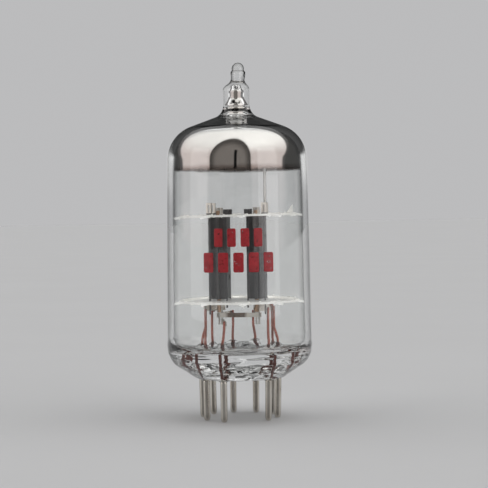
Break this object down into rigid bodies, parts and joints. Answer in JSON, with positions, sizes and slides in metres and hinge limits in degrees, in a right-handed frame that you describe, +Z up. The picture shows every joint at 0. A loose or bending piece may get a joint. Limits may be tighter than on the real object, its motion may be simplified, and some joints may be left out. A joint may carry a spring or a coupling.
{
  "type": "vacuum tube",
  "caption": "Miniature twin-triode vacuum tube: clear glass bulb with a sealed tip and silvered dome, box anodes between toothed mica spacers, and a ring of plug-in pins.",
  "frame": {"origin": "on the tube's axis, at the level of the pin tips", "axes": "+Z up along the tube's axis to the sealed tip; -Y through the middle of the wide gap in the ring of pins; pin 1 is the first pin from the gap towards +X"},
  "size_m": [0.0224, 0.0224, 0.0552],
  "materials": {
    "clear_glass": "clear, fire-polished",
    "stem_glass": "pressed, slightly wavy",
    "pin_nickel": "satin nickel",
    "lead_copper": "borated copper, satin",
    "mica": "sprayed white over clear mica",
    "anode_grey": "carbonised, matt",
    "rod_metal": "drawn wire",
    "grid_wire": "gold-plated wire",
    "cathode_nickel": "drawn nickel sleeve",
    "heater_coating": "sprayed alumina",
    "strap_nickel": "bright nickel strip",
    "getter_metal": "fired nickel",
    "getter_mirror": "silvered film with a brown edge"
  },
  "bodies": {
    "root": {"bulb": "clear_glass", "stem_button": "stem_glass", "pin_1": "pin_nickel", "pin_2": "pin_nickel", "pin_3": "pin_nickel", "pin_4": "pin_nickel", "pin_5": "pin_nickel", "pin_6": "pin_nickel", "pin_7": "pin_nickel", "pin_8": "pin_nickel", "pin_9": "pin_nickel", "lead_1": "lead_copper", "lead_2": "lead_copper", "lead_3": "lead_copper", "lead_4": "lead_copper", "lead_5": "lead_copper", "lead_6": "lead_copper", "lead_7": "lead_copper", "lead_8": "lead_copper", "lead_9": "lead_copper", "mica_bottom": "mica", "mica_top": "mica", "anode_outer_1": "anode_grey", "anode_outer_2": "anode_grey", "anode_inner_1": "anode_grey", "anode_inner_2": "anode_grey", "grid_rods_1": "rod_metal", "grid_rods_2": "rod_metal", "grid_wire_1": "grid_wire", "grid_wire_2": "grid_wire", "cathode_1": "cathode_nickel", "cathode_2": "cathode_nickel", "heater_1": "heater_coating", "heater_2": "heater_coating", "anode_strap_1": "strap_nickel", "anode_strap_2": "strap_nickel", "grid_strap_1": "strap_nickel", "grid_strap_2": "strap_nickel", "cathode_strap_1": "strap_nickel", "cathode_strap_2": "strap_nickel", "heater_strap_1": "strap_nickel", "heater_strap_2": "strap_nickel", "heater_link": "strap_nickel", "tap_strap": "strap_nickel", "getter_post": "strap_nickel", "getter_ring": "getter_metal", "getter_flash": "getter_mirror"}
  },
  "joints": []
}
